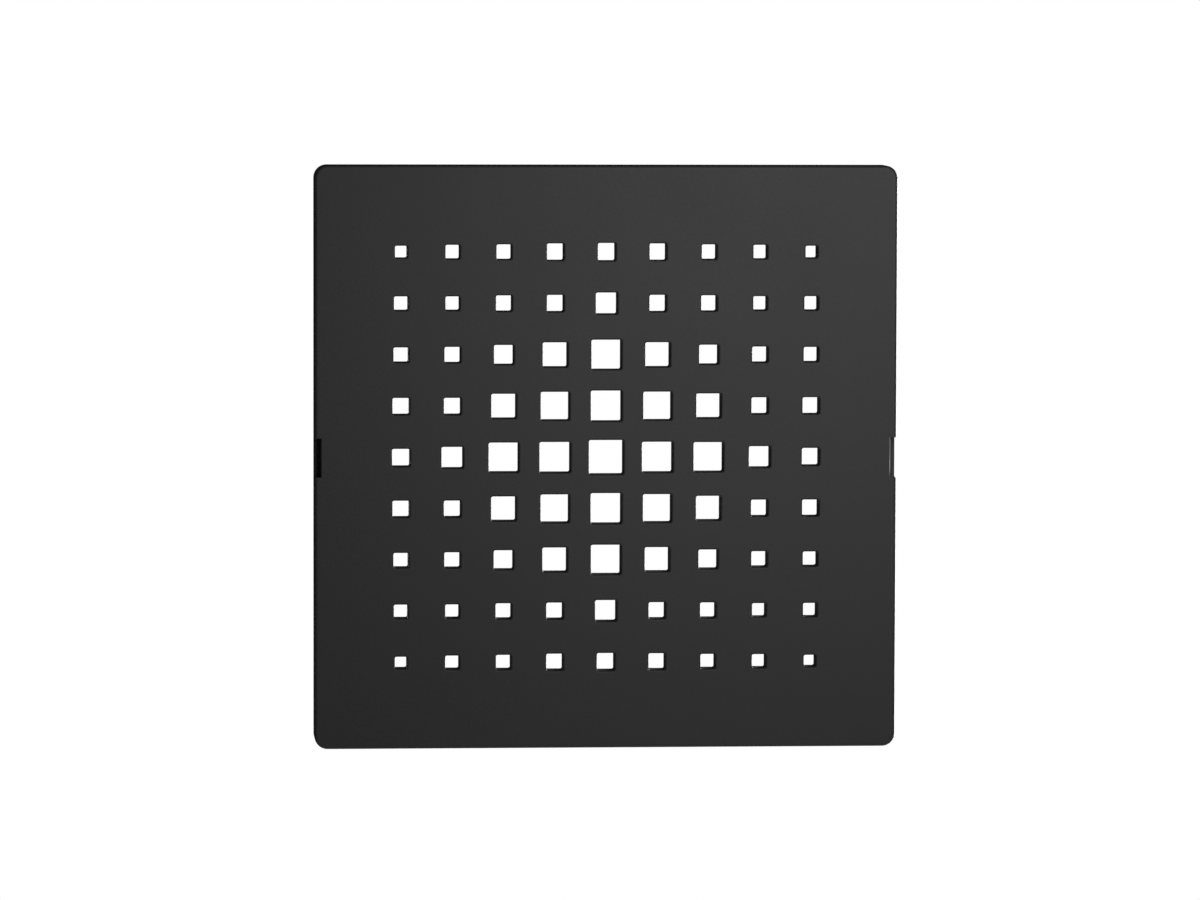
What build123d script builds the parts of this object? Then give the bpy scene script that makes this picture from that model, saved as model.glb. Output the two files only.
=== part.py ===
from build123d import *
import os

# Perforated square cover that clips on a carrier frame behind a wall opening.
# Millimetres. The wall plane is Y = 0, the front of the cover faces -Y, and Z is up.
# Heights are measured off the wall, towards the front, so height h lies at Y = -h.

# cover plate
FACE_SIDE = 62.5          # side of the square face
FACE_CORNER_R = 1.4       # corner of the face's outline
FACE_EDGE_R = 0.35        # rolled front edge
PLATE_T = 2.5             # thickness of the perforated field
RIM_DEPTH = 3.75          # rim, from the front face to its back edge
RIM_WALL = 1.2

# grid of square holes
HOLE_PITCH = 5.5
HOLE_CORNER_R = 0.18
HOLE_MOUTH_R = 0.2        # rolled front edge of each hole
# Side of each hole by its steps from the middle hole, (fewer, more); the grid is alike on all four sides.
HOLE_SIDES = {
    (0, 0): 3.70, (0, 1): 3.30, (0, 2): 3.20, (0, 3): 2.30, (0, 4): 1.90,
    (1, 1): 3.05, (1, 2): 2.65, (1, 3): 1.80, (1, 4): 1.80,
    (2, 2): 2.10, (2, 3): 1.70, (2, 4): 1.60,
    (3, 3): 1.50, (3, 4): 1.50,
    (4, 4): 1.30,
}

# lever notches in the middle of the left and right sides
NOTCH_HEIGHT = 4.1        # takes the tip of a 4 mm screwdriver
NOTCH_INTO_SIDE = 0.7
NOTCH_DEPTH = 2.0         # from the front face down to the notch's floor
NOTCH_LIP = 0.3           # bevel on the outer corner of its lower wall
NOTCH_EDGE_R = 0.13       # rolled front edges

# carrier frame
FRAME_CLEAR = 0.25        # running gap all round, inside the cover's rim
FRAME_BAR = 5.0           # width of each of its four bars
FRAME_DEPTH = 5.2
FRAME_CORNER_R = 1.0
SEAT_GAP = 0.1            # between the frame's front and the back of the plate
BOSS_R = 3.5              # corner bosses round the wall screws
WALL_SCREW_IN = 3.5       # from the frame's outside to the axis of a wall screw
WALL_SCREW_HOLE_R = 1.7   # clearance hole for a 3 mm screw
WALL_SCREW_SINK_R = 2.9

# spring pockets, one through the middle of each bar
POCKET_INNER_WALL = 0.8
POCKET_OUTER_WALL = 0.9
POCKET_SIDE_GAP = 0.5     # beside the spring and the hook

# retaining springs, bent from strip
STRIP_T = 0.3
STRIP_WIDTH = 5.0
STRIP_BEND_R = 0.35       # to the middle of the strip
FOOT_WIDTH = 8.0          # wider foot, clamped between the frame and the ring
FOOT_CLEAR = 0.1
FOOT_REACH = 2.4          # along the ring, in from the strip's upright
SPRING_TOP_GAP = 0.35     # under the back of the plate
SPRING_FOLD = 0.8         # across the fold at the top
NOSE_GAP = 0.2            # between the nose and the hook's arm at rest
NOSE_BELOW_PLATE = 2.7
TAIL_OUT = 0.8            # from the nose back out to the tail
TAIL_DOWN = 1.1

# catch hooks on the back of the cover
HOOK_T = 1.0
HOOK_GAP = 0.3            # to the pocket's inner wall, and over the spring's foot
BARB_OUT = 0.5
BARB_LAND = 0.2
BARB_BELOW_NOSE = 0.8     # from the nose down to where the barb starts

# locating ribs on the back of the cover, inside the frame's window
RIB_T = 0.8
RIB_DEPTH = 1.4
RIB_LENGTH = 34.0

# support ring and its screws
RING_T = 1.2
RING_SETBACK = 0.2        # its outline inside the frame's
RING_SCREW_FROM_MIDDLE = 14.0
SCREW_R = 1.0
SCREW_HEAD_R = 1.8
SCREW_LENGTH = 5.0
SCREW_TIP = 0.5           # bevel round the tip
SCREW_CLEAR = 0.05        # round the shank in the moulded frame
SCREW_HOLE_CLEAR = 0.15   # round the shank in the steel ring
DRIVE_WIDTH = 0.5
DRIVE_SPAN = 2.0
DRIVE_DEPTH = 0.7

# wall gasket
GASKET_T = 1.0
GASKET_SETBACK = 0.4      # its edges inside the ring's

# working values
OVERCUT = 1.0             # how far a cutting tool runs past the face it cuts
NEAR = 1e-6               # two positions closer than this are one

# heights off the wall that the stack gives
RING_BACK = GASKET_T
FRAME_BACK = RING_BACK + RING_T
FRAME_FRONT = FRAME_BACK + FRAME_DEPTH
PLATE_BACK = FRAME_FRONT + SEAT_GAP
FRONT = PLATE_BACK + PLATE_T
RIM_BACK = FRONT - RIM_DEPTH

# distances from the middle that the widths give
FACE_HALF = FACE_SIDE / 2
FRAME_HALF = FACE_HALF - RIM_WALL - FRAME_CLEAR
WALL_SCREW_SPACING = 2 * (FRAME_HALF - WALL_SCREW_IN)
WINDOW_HALF = FRAME_HALF - FRAME_BAR
BAR_MIDDLE = FRAME_HALF - FRAME_BAR / 2
POCKET_IN = WINDOW_HALF + POCKET_INNER_WALL
POCKET_OUT = FRAME_HALF - POCKET_OUTER_WALL
HOOK_IN = POCKET_IN + HOOK_GAP
HOOK_OUT = HOOK_IN + HOOK_T
NOSE_HEIGHT = PLATE_BACK - NOSE_BELOW_PLATE
POCKET_WIDTH = STRIP_WIDTH + 2 * POCKET_SIDE_GAP
HOLE_STEPS = max(more for _, more in HOLE_SIDES)

SIDES = {"right": 0, "top": 90, "left": 180, "bottom": 270}


def at_height(height):
    """The plane parallel to the wall at a height off it; sketches on it are drawn in X and Z."""
    return Plane.XZ.offset(height)


def slab(half, corner_r, low, high):
    """A square plate with rounded corners, from one height to another."""
    outline = RectangleRounded(2 * half, 2 * half, corner_r)
    return extrude(at_height(low) * outline, high - low)


def turned(part, angle):
    """A piece made for the right-hand side, turned round the Y axis to another side."""
    return Rot(0, -angle, 0) * part


def bar_solid(profile, width):
    """Sweep a closed profile, drawn as (distance from the middle, height), along the right-hand side."""
    flat = Plane.XY * make_face(Polyline(*[(u, -h) for u, h in profile], close=True))
    return extrude(flat, width / 2, both=True)


def block(low_u, high_u, low_h, high_h, width):
    """A plain block on the right-hand side, centred on the middle of that side."""
    return bar_solid([(low_u, low_h), (high_u, low_h), (high_u, high_h), (low_u, high_h)], width)


# ---- cover plate -------------------------------------------------------------------------------------

def hole_cutter(side):
    """Cutter for one hole at the middle of the face, flared at its mouth to leave a rolled edge."""
    outline = RectangleRounded(side, side, HOLE_CORNER_R)
    bore = extrude(at_height(PLATE_BACK - OVERCUT) * outline, PLATE_T + OVERCUT)
    cap_side = side + 2 * (HOLE_MOUTH_R + OVERCUT)
    cap = extrude(at_height(FRONT) * Rectangle(cap_side, cap_side), OVERCUT)
    tool = bore + cap
    mouth = [
        edge
        for edge in tool.edges().filter_by_position(Axis.Y, -FRONT - NEAR, -FRONT + NEAR)
        if max(abs(edge.center().X), abs(edge.center().Z)) < side / 2 + HOLE_MOUTH_R
    ]
    return fillet(mouth, HOLE_MOUTH_R)


def hole_cutters():
    """All the holes' cutters, in their places on the grid."""
    cutters = {steps: hole_cutter(side) for steps, side in HOLE_SIDES.items()}
    across = range(-HOLE_STEPS, HOLE_STEPS + 1)
    return [
        Pos(column * HOLE_PITCH, 0, row * HOLE_PITCH) * cutters[tuple(sorted((abs(column), abs(row))))]
        for column in across
        for row in across
    ]


def notch_cutter():
    """Lever notch in the right-hand side, open to the front, with a bevel under its outer lower corner."""
    inner = FACE_HALF - NOTCH_INTO_SIDE
    beyond = FACE_HALF + NOTCH_INTO_SIDE
    top = NOTCH_HEIGHT / 2
    outline = Polyline(
        (inner, top),
        (beyond, top),
        (beyond, -top - NOTCH_LIP - NOTCH_INTO_SIDE),
        (FACE_HALF - NOTCH_LIP, -top),
        (inner, -top),
        close=True,
    )
    return extrude(at_height(FRONT - NOTCH_DEPTH) * make_face(outline), NOTCH_DEPTH + OVERCUT)


def notched(shell):
    """The shell with a notch in each side and the notches' front edges rolled."""
    cutter = notch_cutter()
    shell -= [cutter, mirror(cutter, Plane.YZ)]
    front_edges = shell.faces().sort_by(Axis.Y)[0].edges()
    reach = FACE_HALF - FACE_EDGE_R
    lips = [
        edge
        for edge in front_edges
        if abs(edge.center().Z) < NOTCH_HEIGHT and abs(edge.center().X) < reach - NEAR
    ]
    return fillet(lips, NOTCH_EDGE_R)


def catch_hook():
    """Hook on the right-hand side: an arm down into the spring pocket, with a barb under the spring."""
    foot_top = FRAME_BACK + STRIP_T
    tip = foot_top + HOOK_GAP
    barb_top = NOSE_HEIGHT - BARB_BELOW_NOSE
    barb_low = barb_top - BARB_OUT - BARB_LAND
    profile = [
        (HOOK_IN, PLATE_BACK),
        (HOOK_OUT, PLATE_BACK),
        (HOOK_OUT, barb_top),
        (HOOK_OUT + BARB_OUT, barb_top - BARB_OUT),
        (HOOK_OUT + BARB_OUT, barb_low),
        (HOOK_OUT, tip),
        (HOOK_IN, tip),
    ]
    return bar_solid(profile, STRIP_WIDTH)


def locating_rib():
    """Low rib on the right-hand side that centres the cover in the frame's window."""
    rib_out = WINDOW_HALF - HOOK_GAP
    return block(rib_out - RIB_T, rib_out, PLATE_BACK - RIB_DEPTH, PLATE_BACK, RIB_LENGTH)


def cover_plate():
    """The moulded cover: plate, rim, holes, notches, hooks and ribs in one piece."""
    shell = slab(FACE_HALF, FACE_CORNER_R, RIM_BACK, FRONT)
    front_edges = shell.faces().sort_by(Axis.Y)[0].edges()
    shell = notched(fillet(front_edges, FACE_EDGE_R))
    inner_half = FACE_HALF - RIM_WALL
    shell -= slab(inner_half, FRAME_CORNER_R, RIM_BACK, PLATE_BACK)
    for angle in SIDES.values():
        shell += turned(catch_hook(), angle)
        shell += turned(locating_rib(), angle)
    return shell - hole_cutters()


# ---- carrier frame, support ring and gasket -----------------------------------------------------------

def corner_places():
    """The four wall screws, at the corners of a square."""
    return GridLocations(WALL_SCREW_SPACING, WALL_SCREW_SPACING, 2, 2)


def ring_screw_places():
    """The four ring screws, two in the top bar and two in the bottom bar."""
    return GridLocations(2 * RING_SCREW_FROM_MIDDLE, 2 * BAR_MIDDLE, 2, 2)


def ring_outline(outer_half, outer_r, window_half, boss_r):
    """Square ring with a boss in each corner of its window, as a sketch in X and Z."""
    bars = RectangleRounded(2 * outer_half, 2 * outer_half, outer_r) - Rectangle(2 * window_half, 2 * window_half)
    bars_middle = Rectangle(2 * BAR_MIDDLE, 2 * BAR_MIDDLE)
    return bars + [boss & bars_middle for boss in corner_places() * Circle(boss_r)]


def ring_solid(outer_half, outer_r, window_half, boss_r, low, high):
    """The same ring as a solid, with the four wall-screw holes through it."""
    outline = ring_outline(outer_half, outer_r, window_half, boss_r)
    outline -= corner_places() * Circle(WALL_SCREW_HOLE_R)
    return extrude(at_height(low) * outline, high - low)


def drill(radius, low, high, places):
    """Straight round holes from one height to another."""
    return extrude(at_height(low) * (Sketch() + places * Circle(radius)), high - low)


def carrier_frame():
    """The moulded frame, with its spring pockets, screw holes and sinks."""
    frame = ring_solid(FRAME_HALF, FRAME_CORNER_R, WINDOW_HALF, BOSS_R, FRAME_BACK, FRAME_FRONT)
    sink = Cone(WALL_SCREW_HOLE_R, WALL_SCREW_SINK_R, WALL_SCREW_SINK_R - WALL_SCREW_HOLE_R)
    sink_low = FRAME_FRONT - (WALL_SCREW_SINK_R - WALL_SCREW_HOLE_R) / 2
    frame -= [at_height(sink_low) * place * sink for place in corner_places()]
    pilot_top = RING_BACK + SCREW_LENGTH + SCREW_HOLE_CLEAR
    frame -= drill(SCREW_R + SCREW_CLEAR, FRAME_BACK, pilot_top, ring_screw_places())
    pocket = block(POCKET_IN, POCKET_OUT, FRAME_BACK, FRAME_FRONT, POCKET_WIDTH)
    foot_in = POCKET_OUT - STRIP_T / 2 - FOOT_REACH - FOOT_CLEAR
    recess = block(foot_in, POCKET_OUT, FRAME_BACK, FRAME_BACK + STRIP_T, FOOT_WIDTH + 2 * FOOT_CLEAR)
    for angle in SIDES.values():
        frame -= turned(pocket + recess, angle)
    return frame


def support_ring():
    """The stamped ring behind the frame, countersunk from the back for its screws."""
    half = FRAME_HALF - RING_SETBACK
    ring = ring_solid(half, FRAME_CORNER_R, WINDOW_HALF, BOSS_R, RING_BACK, FRAME_BACK)
    ring -= drill(SCREW_R + SCREW_HOLE_CLEAR, RING_BACK, FRAME_BACK, ring_screw_places())
    ring -= [at_height(RING_BACK) * place * screw_head() for place in ring_screw_places()]
    return ring


def screw_head():
    """Countersunk head, its flat at the base plane and its cone going up from it."""
    rise = SCREW_HEAD_R - SCREW_R
    return Pos(0, 0, rise / 2) * Cone(SCREW_HEAD_R, SCREW_R, rise)


def ring_screw():
    """One thread-forming screw with a cross drive, head down at the base plane."""
    shank = Pos(0, 0, SCREW_LENGTH / 2) * Cylinder(SCREW_R, SCREW_LENGTH)
    tip_edges = shank.edges().sort_by(Axis.Z)[-1:]
    shank = chamfer(tip_edges, SCREW_TIP)
    screw = screw_head() + shank
    slot = Box(DRIVE_SPAN, DRIVE_WIDTH, 2 * DRIVE_DEPTH)
    return screw - slot - Rot(0, 0, 90) * slot


def wall_gasket():
    """The foam ring against the wall, set back from the edges of the steel ring."""
    half = FRAME_HALF - RING_SETBACK - GASKET_SETBACK
    window_half = WINDOW_HALF + GASKET_SETBACK
    return ring_solid(half, FRAME_CORNER_R, window_half, BOSS_R - GASKET_SETBACK, 0, RING_BACK)


# ---- retaining springs --------------------------------------------------------------------------------

def retaining_spring():
    """Spring of the right-hand side: foot, upright, fold, nose and tail, bent from one strip."""
    upright = POCKET_OUT - STRIP_T / 2
    foot = FRAME_BACK + STRIP_T / 2
    top = PLATE_BACK - SPRING_TOP_GAP - STRIP_T / 2
    nose = HOOK_OUT + NOSE_GAP + STRIP_T / 2
    route = [
        (upright - FOOT_REACH, foot),
        (upright, foot),
        (upright, top),
        (upright - SPRING_FOLD, top),
        (nose, NOSE_HEIGHT),
        (nose + TAIL_OUT, NOSE_HEIGHT - TAIL_DOWN),
    ]
    path = FilletPolyline(*[(u, -h) for u, h in route], radius=STRIP_BEND_R)
    strip = extrude(Plane.XY * trace(path, STRIP_T), STRIP_WIDTH / 2, both=True)
    ears = block(upright - FOOT_REACH, upright - STRIP_BEND_R, FRAME_BACK, FRAME_BACK + STRIP_T, FOOT_WIDTH)
    return strip + ears


def write(node, part):
    """One STEP file for each node."""
    part.label = node
    export_step(part, f"parts/{node}.step")


os.makedirs("parts", exist_ok=True)
write("cover_plate", cover_plate())
write("carrier_frame", carrier_frame())
write("support_ring", support_ring())
write("wall_gasket", wall_gasket())
for side_name, side_angle in SIDES.items():
    write(f"retaining_spring_{side_name}", turned(retaining_spring(), side_angle))
for across_name, x_sign in {"left": -1, "right": 1}.items():
    for height_name, z_sign in {"bottom": -1, "top": 1}.items():
        seat = Location((x_sign * RING_SCREW_FROM_MIDDLE, z_sign * BAR_MIDDLE, 0))
        write(f"ring_screw_{height_name}_{across_name}", at_height(RING_BACK) * seat * ring_screw())
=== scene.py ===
import math
import bpy
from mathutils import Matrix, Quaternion, Vector


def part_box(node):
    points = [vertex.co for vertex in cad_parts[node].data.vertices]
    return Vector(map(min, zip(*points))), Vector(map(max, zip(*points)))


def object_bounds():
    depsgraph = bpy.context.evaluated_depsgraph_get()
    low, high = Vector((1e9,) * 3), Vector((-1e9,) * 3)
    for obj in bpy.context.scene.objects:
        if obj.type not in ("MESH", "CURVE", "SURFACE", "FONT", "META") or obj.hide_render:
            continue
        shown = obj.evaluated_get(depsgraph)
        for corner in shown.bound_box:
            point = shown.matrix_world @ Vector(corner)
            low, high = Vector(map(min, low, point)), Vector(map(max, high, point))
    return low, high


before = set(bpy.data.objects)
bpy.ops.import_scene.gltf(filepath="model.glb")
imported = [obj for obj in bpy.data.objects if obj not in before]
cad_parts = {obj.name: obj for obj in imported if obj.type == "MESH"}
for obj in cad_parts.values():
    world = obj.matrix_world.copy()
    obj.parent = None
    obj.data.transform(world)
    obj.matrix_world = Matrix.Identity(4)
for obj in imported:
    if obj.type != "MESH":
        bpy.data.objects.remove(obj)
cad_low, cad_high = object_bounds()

# ---- carrier frame ------------------------------------------------------------------------------------
# A square frame moulded in dark grey glass-filled nylon. Four screws hold it to the wall, behind the cover's
# margin, and it has a pocket for each spring. Glass fibres leave faint streaks on it from front to back.

STREAK_WIDTH = 0.0009
STREAK_PULL = (1.0, 6.0, 1.0)
STREAK_DEPTH = 0.00002
MOTTLE_SIZE = 0.004
NYLON_DARK = (0.060, 0.062, 0.066)
NYLON_LIGHT = (0.105, 0.107, 0.112)


class Wire:
    """One output of a shader node; arithmetic on it adds Math nodes."""

    def __init__(self, shading, socket):
        self.shading = shading
        self.socket = socket

    def math(self, operation, *values):
        settings = {"operation": operation}
        return self.shading.node("ShaderNodeMath", settings, dict(enumerate(values)))

    def __add__(self, other):
        return self.math("ADD", self, other)

    def __sub__(self, other):
        return self.math("SUBTRACT", self, other)

    def __rsub__(self, other):
        return self.math("SUBTRACT", other, self)

    def __mul__(self, other):
        return self.math("MULTIPLY", self, other)

    def __abs__(self):
        return self.math("ABSOLUTE", self)

    __radd__ = __add__
    __rmul__ = __mul__

    def larger(self, other):
        return self.math("MAXIMUM", self, other)

    def ramp(self, start, end):
        """0 below start, 1 above end and smooth between."""
        settings = {"interpolation_type": "SMOOTHSTEP"}
        inputs = {"Value": self, "From Min": start, "From Max": end}
        return self.shading.node("ShaderNodeMapRange", settings, inputs)

    def axis(self, letter):
        """The X, Y or Z of a vector, or of a colour's red, green and blue."""
        return self.shading.node("ShaderNodeSeparateXYZ", inputs={0: self}, output=letter)


class Shading:
    """The nodes of one material or of the studio's backdrop."""

    def __init__(self, owner):
        owner.use_nodes = True
        self.tree = owner.node_tree

    def node(self, kind, settings=None, inputs=None, output=0):
        """Add a node: its settings first, then its sockets' values or links. Gives one of its outputs."""
        made = self.tree.nodes.new(kind)
        for name, value in (settings or {}).items():
            setattr(made, name, value)
        for name, value in (inputs or {}).items():
            self.feed(made, name, value)
        return Wire(self, made.outputs[output])

    def feed(self, node, name, value):
        """Link one socket of a node to an output, or set it to a value."""
        if isinstance(value, Wire):
            self.tree.links.new(value.socket, node.inputs[name])
        else:
            node.inputs[name].default_value = value


class Finish(Shading):
    """A material with one Principled surface."""

    def __init__(self, name):
        self.material = bpy.data.materials.new(name)
        super().__init__(self.material)
        self.surface = self.tree.nodes["Principled BSDF"]
        self.place = self.node("ShaderNodeTexCoord", output="Object")

    def set(self, **sockets):
        """Set the surface's sockets, with underscores for the spaces in their names."""
        for name, value in sockets.items():
            self.feed(self.surface, name.replace("_", " "), value)

    def noise(self, size, detail=2.0, pull=(1.0, 1.0, 1.0)):
        """Noise whose blotches are about size metres across, pulled out that many times along each axis."""
        squeeze = [1 / times for times in pull]
        squeezed = self.node("ShaderNodeMapping", inputs={"Vector": self.place, "Scale": squeeze})
        inputs = {"Vector": squeezed, "Scale": 1 / size, "Detail": detail}
        return self.node("ShaderNodeTexNoise", inputs=inputs)

    def blend(self, factor, first, second):
        """Mix of two colours, which a colour Mix takes at its sockets 6 and 7 and gives at its output 2."""
        inputs = {0: factor, 6: (*first, 1.0), 7: (*second, 1.0)}
        return self.node("ShaderNodeMix", {"data_type": "RGBA"}, inputs, output=2)

    def relief(self, height, depth):
        """Give the surface a relief of that depth in metres."""
        bump = self.node("ShaderNodeBump", inputs={"Height": height, "Distance": depth})
        self.set(Normal=bump)

    def dress(self, *nodes):
        """Put the finish on CAD nodes."""
        for name in nodes:
            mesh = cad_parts[name].data
            mesh.materials.clear()
            mesh.materials.append(self.material)


frame_grey = Finish("frame_grey")
streaks = frame_grey.noise(STREAK_WIDTH, detail=4.0, pull=STREAK_PULL)
mottle = frame_grey.noise(MOTTLE_SIZE)
frame_grey.set(
    Base_Color=frame_grey.blend(streaks * 0.5 + mottle * 0.5, NYLON_DARK, NYLON_LIGHT),
    Roughness=0.42 + 0.18 * streaks,
)
frame_grey.relief(streaks, STREAK_DEPTH)
frame_grey.dress("carrier_frame")

# ---- retaining springs --------------------------------------------------------------------------------
# Four springs bent from rolled stainless strip, one in each pocket. The ring clamps their wide feet, and
# their noses hold the cover's hooks. Rolling leaves fine lines up the strip.

LINE_WIDTH = 0.0002
LINE_PULL = (1.0, 12.0, 1.0)
LINE_DEPTH = 0.000006
STAINLESS_DARK = (0.52, 0.51, 0.49)
STAINLESS_LIGHT = (0.70, 0.69, 0.66)

spring_strip = Finish("spring_strip")
lines = spring_strip.noise(LINE_WIDTH, detail=3.0, pull=LINE_PULL)
spring_strip.set(
    Base_Color=spring_strip.blend(lines, STAINLESS_DARK, STAINLESS_LIGHT),
    Metallic=1.0,
    Roughness=0.20 + 0.14 * lines,
)
spring_strip.relief(lines, LINE_DEPTH)
spring_strip.dress(*(f"retaining_spring_{side}" for side in ("left", "right", "top", "bottom")))

# ---- support ring -------------------------------------------------------------------------------------
# A ring stamped from galvanised steel sheet, behind the frame. It closes the spring pockets and takes the
# load of the wall screws. The zinc shows a dull crystal pattern.

SPANGLES_PER_METRE = 420.0
HAZE_SIZE = 0.0007
HAZE_DEPTH = 0.00001
ZINC_DARK = (0.40, 0.41, 0.42)
ZINC_LIGHT = (0.62, 0.63, 0.64)

zinc_sheet = Finish("zinc_sheet")
crystals = {"Vector": zinc_sheet.place, "Scale": SPANGLES_PER_METRE, "Randomness": 1.0}
spangle = zinc_sheet.node("ShaderNodeTexVoronoi", inputs=crystals, output="Color")
flake = spangle.axis("X")
haze = zinc_sheet.noise(HAZE_SIZE, detail=3.0)
zinc_sheet.set(
    Base_Color=zinc_sheet.blend(flake * 0.7 + haze * 0.3, ZINC_DARK, ZINC_LIGHT),
    Metallic=1.0,
    Roughness=0.34 + 0.16 * flake + 0.08 * haze,
)
zinc_sheet.relief(haze, HAZE_DEPTH)
zinc_sheet.dress("support_ring")

# ---- ring screws --------------------------------------------------------------------------------------
# Four thread-forming steel screws, driven from the back through the ring into the frame. Their zinc plating
# is a little yellow, and uneven in shine.

PLATING_SIZE = 0.0005
PLATING_DEPTH = 0.000008
PLATING_DARK = (0.50, 0.48, 0.40)
PLATING_LIGHT = (0.66, 0.64, 0.56)

screw_zinc = Finish("screw_zinc")
plating = screw_zinc.noise(PLATING_SIZE, detail=3.0)
screw_zinc.set(
    Base_Color=screw_zinc.blend(plating, PLATING_DARK, PLATING_LIGHT),
    Metallic=1.0,
    Roughness=0.26 + 0.18 * plating,
)
screw_zinc.relief(plating, PLATING_DEPTH)
screw_zinc.dress(*(f"ring_screw_{up}_{across}" for up in ("top", "bottom") for across in ("left", "right")))

# ---- wall gasket --------------------------------------------------------------------------------------
# A ring die-cut from closed-cell foam and glued to the back of the steel ring. It takes up the unevenness
# of the wall. Its skin is matt and pitted with small cells.

CELLS_PER_METRE = 2600.0
CELL_SMOOTHNESS = 0.6
CELL_DEPTH = 0.00006
FOAM_DARK = (0.018, 0.018, 0.019)
FOAM_LIGHT = (0.050, 0.050, 0.052)

foam = Finish("foam")
pits = {"Vector": foam.place, "Scale": CELLS_PER_METRE, "Smoothness": CELL_SMOOTHNESS}
cells = foam.node("ShaderNodeTexVoronoi", {"feature": "SMOOTH_F1"}, pits)
foam.set(
    Base_Color=foam.blend(cells, FOAM_DARK, FOAM_LIGHT),
    Roughness=0.80 + 0.15 * cells,
    Specular_IOR_Level=0.3,
)
foam.relief(cells, CELL_DEPTH)
foam.dress("wall_gasket")

# ---- cover plate --------------------------------------------------------------------------------------
# One moulding in matt black PC/ABS, which clips on last. Spark erosion of the mould leaves a very fine even
# grain on the face. On the rim and the holes' walls, which turn away from the front, the grain stops, the
# surface is a little smoother, and the black is painted darker there as painted shade. The outermost edge of
# the face is a little rubbed.

GRAIN_SIZE = 0.00028
GRAIN_DEPTH = 0.00001
CLOUD_SIZE = 0.012
RUB_WIDTH = 0.0006
# Surfaces that face front or back less squarely than the first of these count as walls and those above the
# second as face: the grain stops on the walls, and the walls are painted darker as painted shade, down to a
# share of the face's tone.
SHADED_WALL_BELOW = 0.35          # how squarely a surface faces front or back
GRAINED_UNSHADED_ABOVE = 0.80
WALL_SHADE_TONE = 0.30           # of the grained tone
DEEPEST_AND_SHADE = (0.0, 0.0, 0.0)
COVER_BLACK = (0.031, 0.031, 0.0315)

plate_low, plate_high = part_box("cover_plate")
face_side = plate_high.x - plate_low.x

cover_black = Finish("cover_black")
grain = cover_black.noise(GRAIN_SIZE, detail=3.0)
cloud = cover_black.noise(CLOUD_SIZE)
from_middle = abs(cover_black.place.axis("X")).larger(abs(cover_black.place.axis("Z")))
rubbed = from_middle.ramp(face_side / 2 - RUB_WIDTH, face_side / 2)
lie = cover_black.node("ShaderNodeTexCoord", output="Normal")
grained_and_unshaded = abs(lie.axis("Y")).ramp(SHADED_WALL_BELOW, GRAINED_UNSHADED_ABOVE)
# Painted shade: the walls of the rim and the holes are painted darker than the face, down to the wall share
# of its tone.
wall_painted_shade = WALL_SHADE_TONE + (1 - WALL_SHADE_TONE) * grained_and_unshaded
tone_and_painted_shade = wall_painted_shade * (0.75 + 0.15 * grain + 0.10 * cloud)
# The colour runs from pure black to the cover's black. The grain and cloud vary it at random, and the
# painted wall shade pulls it towards black.
cover_black.set(
    Base_Color=cover_black.blend(tone_and_painted_shade, DEEPEST_AND_SHADE, COVER_BLACK),
    Roughness=0.46 + 0.10 * cloud + 0.12 * grained_and_unshaded * grain - 0.05 * rubbed,
    Specular_IOR_Level=0.3,
)
cover_black.relief(grain * grained_and_unshaded, GRAIN_DEPTH)
cover_black.dress("cover_plate")

# ---- floor --------------------------------------------------------------------------------------------
# The pale floor of the studio, well below the part, because the part hangs on a wall. The camera sees it
# evenly lit, as it sees the backdrop.

FLOOR_BELOW = 0.06
FLOOR_HALF = 2.0
FLOOR_PALE = (0.8, 0.8, 0.8, 1.0)

floor_height = cad_low.z - FLOOR_BELOW
floor_corners = [
    (-FLOOR_HALF, -FLOOR_HALF, floor_height),
    (FLOOR_HALF, -FLOOR_HALF, floor_height),
    (FLOOR_HALF, FLOOR_HALF, floor_height),
    (-FLOOR_HALF, FLOOR_HALF, floor_height),
]
floor_mesh = bpy.data.meshes.new("floor")
floor_mesh.from_pydata(floor_corners, [], [(0, 1, 2, 3)])
floor = bpy.data.objects.new("floor", floor_mesh)
bpy.context.scene.collection.objects.link(floor)

pale = Finish("pale_floor")
pale.set(Base_Color=FLOOR_PALE, Roughness=0.9)
pale_surface = Wire(pale, pale.surface.outputs[0])
even_light = pale.node("ShaderNodeEmission")
from_camera = pale.node("ShaderNodeLightPath", output="Is Camera Ray")
shown = pale.node("ShaderNodeMixShader", inputs={0: from_camera, 1: pale_surface, 2: even_light})
pale.feed(pale.tree.nodes["Material Output"], "Surface", shown)
floor_mesh.materials.append(pale.material)

# ---- backdrop -----------------------------------------------------------------------------------------
# A white cyclorama with the room's light turned down: the camera sees it full white, and the part gets
# only a little light from it.

ROOM_LIGHT = 0.05
WHITE = (1.0, 1.0, 1.0, 1.0)

bpy.context.scene.view_settings.view_transform = "Standard"
world = bpy.data.worlds.new("studio")
bpy.context.scene.world = world
room = Shading(world)
dim = room.node("ShaderNodeBackground", inputs={"Color": WHITE, "Strength": ROOM_LIGHT})
bright = room.node("ShaderNodeBackground", inputs={"Color": WHITE})
to_camera = room.node("ShaderNodeLightPath", output="Is Camera Ray")
chosen = room.node("ShaderNodeMixShader", inputs={0: to_camera, 1: dim, 2: bright})
room.feed(room.tree.nodes["World Output"], "Surface", chosen)

# ---- soft boxes ---------------------------------------------------------------------------------------
# One square soft box close in front of the upper right-hand quarter of the cover, and one behind for the
# back of the part. Both are hidden from the camera.

KEY_RIGHT = 0.028
KEY_OUT = 0.09                 # in front of the face
KEY_UP = 0.033
KEY_SIDE = 0.089
KEY_WATTS = 0.076
BACK_RIGHT = 0.16
BACK_OUT = 0.2                 # behind the wall plane
BACK_DOWN = 0.02
BACK_SIDE = 0.16
BACK_WATTS = 1.6

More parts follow.
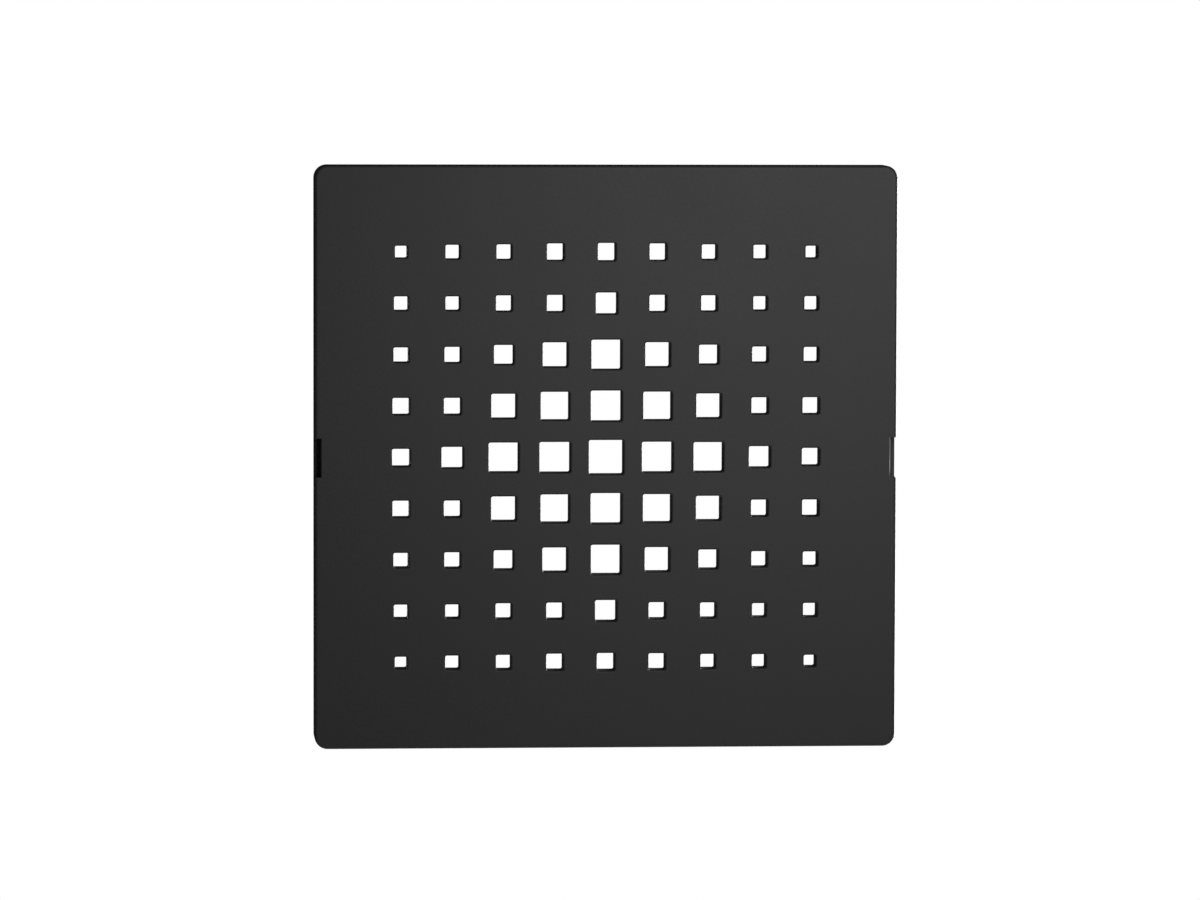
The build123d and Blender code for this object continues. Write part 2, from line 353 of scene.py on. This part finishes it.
face_middle = Vector((0.0, plate_low.y, 0.0))
back_middle = Vector((0.0, cad_high.y, 0.0))


def soft_box(name, place, aim_at, side, watts):
    """A square area light at a place, turned towards a point, that the camera doesn't see."""
    light = bpy.data.lights.new(name, "AREA")
    light.shape = "SQUARE"
    light.size = side
    light.energy = watts
    box = bpy.data.objects.new(name, light)
    bpy.context.scene.collection.objects.link(box)
    box.location = place
    box.rotation_mode = "QUATERNION"
    box.rotation_quaternion = (aim_at - place).to_track_quat("-Z", "Y")
    box.visible_camera = False


key_place = face_middle + Vector((KEY_RIGHT, -KEY_OUT, KEY_UP))
soft_box("key_light", key_place, face_middle, KEY_SIDE, KEY_WATTS)
back_place = back_middle + Vector((BACK_RIGHT, BACK_OUT, -BACK_DOWN))
soft_box("back_light", back_place, back_middle, BACK_SIDE, BACK_WATTS)

# ---- camera -------------------------------------------------------------------------------------------
# A long lens a good arm's length in front of the cover, a little to its left and a little above its middle,
# so that the right-hand and lower walls of the holes show. It looks almost at the middle of the face.

CAMERA_OUT = 0.687
CAMERA_LEFT = 0.053
CAMERA_UP = 0.047
CAMERA_ROLL = math.radians(0.15)
AIM_LEFT = 0.0007
AIM_UP = 0.0008
FACE_SHARE = 0.4866            # of the width that the camera takes in
SENSOR_WIDTH = 36.0
NEAR_CLIP = 0.01
FAR_CLIP = 10.0

camera = bpy.data.objects.new("camera", bpy.data.cameras.new("camera"))
bpy.context.scene.collection.objects.link(camera)
camera.location = face_middle + Vector((-CAMERA_LEFT, -CAMERA_OUT, CAMERA_UP))
aim = face_middle + Vector((-AIM_LEFT, 0.0, AIM_UP)) - camera.location
roll = Quaternion((0.0, 0.0, 1.0), CAMERA_ROLL)
camera.rotation_mode = "QUATERNION"
camera.rotation_quaternion = aim.to_track_quat("-Z", "Y") @ roll
camera.data.sensor_width = SENSOR_WIDTH
camera.data.lens = SENSOR_WIDTH * FACE_SHARE * aim.length / face_side
camera.data.clip_start = NEAR_CLIP
camera.data.clip_end = FAR_CLIP
bpy.context.scene.camera = camera
